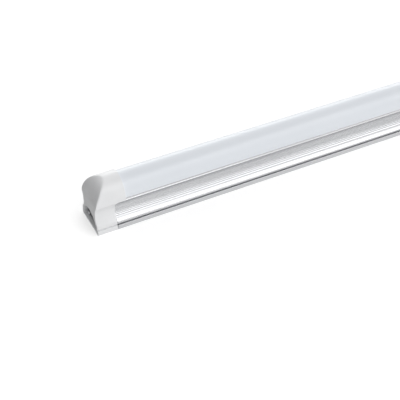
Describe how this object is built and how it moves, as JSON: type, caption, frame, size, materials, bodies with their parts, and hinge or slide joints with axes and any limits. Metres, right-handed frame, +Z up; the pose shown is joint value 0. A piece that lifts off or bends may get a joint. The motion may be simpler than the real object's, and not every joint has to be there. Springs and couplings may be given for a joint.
{
  "type": "led light tube",
  "caption": "Straight LED light tube: ribbed aluminium base with clip flanges, frosted domed cover, white end caps with recessed supply sockets, backup cell inside.",
  "frame": {"origin": "centre of the flat base, where the bounding box meets the surface it rests on", "axes": "+X along the tube, towards the right end cap; +Z up, out of the light-giving side; -Y the side nearest the viewer"},
  "size_m": [0.6, 0.031, 0.041],
  "materials": {
    "aluminium_extrusion": "satin anodised, fine lengthwise ribs",
    "frosted_cover": "frosted translucent polycarbonate",
    "white_moulding": "white moulded plastic, semi-gloss",
    "dark_moulding": "dark moulded plastic",
    "brass_contact": "bright brass",
    "steel_fastener": "zinc plated",
    "tinned_copper": "tinned",
    "white_board": "white solder mask",
    "led_package": "white package with yellow phosphor",
    "green_board": "green solder mask",
    "tray_liner": "translucent insulating liner",
    "component_black": "moulded epoxy",
    "capacitor_sleeve": "printed shrink sleeve, plain",
    "transformer_tape": "yellow insulating tape",
    "copper_winding": "enamelled copper wire",
    "fuse_sleeve": "ceramic body, end caps",
    "varistor_coating": "dipped epoxy",
    "relay_blue": "moulded case",
    "connector_white": "nylon",
    "cell_can": "nickel plated",
    "blue_sleeve": "blue shrink film",
    "insulating_paper": "pressed paper",
    "foam": "closed-cell foam",
    "live_insulation": "brown insulation",
    "neutral_insulation": "blue insulation",
    "earth_insulation": "green and yellow insulation",
    "red_insulation": "red silicone insulation",
    "black_insulation": "black silicone insulation"
  },
  "bodies": {
    "root": {"battery_cell": "cell_can", "battery_header": "connector_white", "battery_insulator": "insulating_paper", "battery_lead_black": "black_insulation", "battery_lead_red": "red_insulation", "battery_plug": "connector_white", "battery_protection_board": "green_board", "battery_sleeve": "blue_sleeve", "bridge_rectifier": "component_black", "changeover_relay": "relay_blue", "charger_chip": "component_black", "diffuser_cover": "frosted_cover", "driver_board": "green_board", "driver_tray": "tray_liner", "earth_lead": "earth_insulation", "earth_lug": "tinned_copper", "earth_rivet": "steel_fastener", "emergency_board": "green_board", "filter_choke": "copper_winding", "foam_pad_front": "foam", "foam_pad_rear": "foam", "fuse": "fuse_sleeve", "housing_profile": "aluminium_extrusion", "input_capacitor": "capacitor_sleeve", "led_board": "white_board", "led_lead_negative": "black_insulation", "led_lead_positive": "red_insulation", "led_string": "led_package", "left_cap_screw_front": "steel_fastener", "left_cap_screw_rear": "steel_fastener", "left_end_cap": "white_moulding", "left_pin_earth": "brass_contact", "left_pin_live": "brass_contact", "left_pin_neutral": "brass_contact", "left_socket_body": "dark_moulding", "link_lead_earth": "earth_insulation", "link_lead_live": "live_insulation", "link_lead_neutral": "neutral_insulation", "output_capacitor": "capacitor_sleeve", "output_diode": "component_black", "right_cap_screw_front": "steel_fastener", "right_cap_screw_rear": "steel_fastener", "right_end_cap": "white_moulding", "right_pin_earth": "brass_contact", "right_pin_live": "brass_contact", "right_pin_neutral": "brass_contact", "right_socket_body": "dark_moulding", "supply_lead_live": "live_insulation", "supply_lead_neutral": "neutral_insulation", "switching_chip": "component_black", "transformer": "transformer_tape", "varistor": "varistor_coating"}
  },
  "joints": []
}
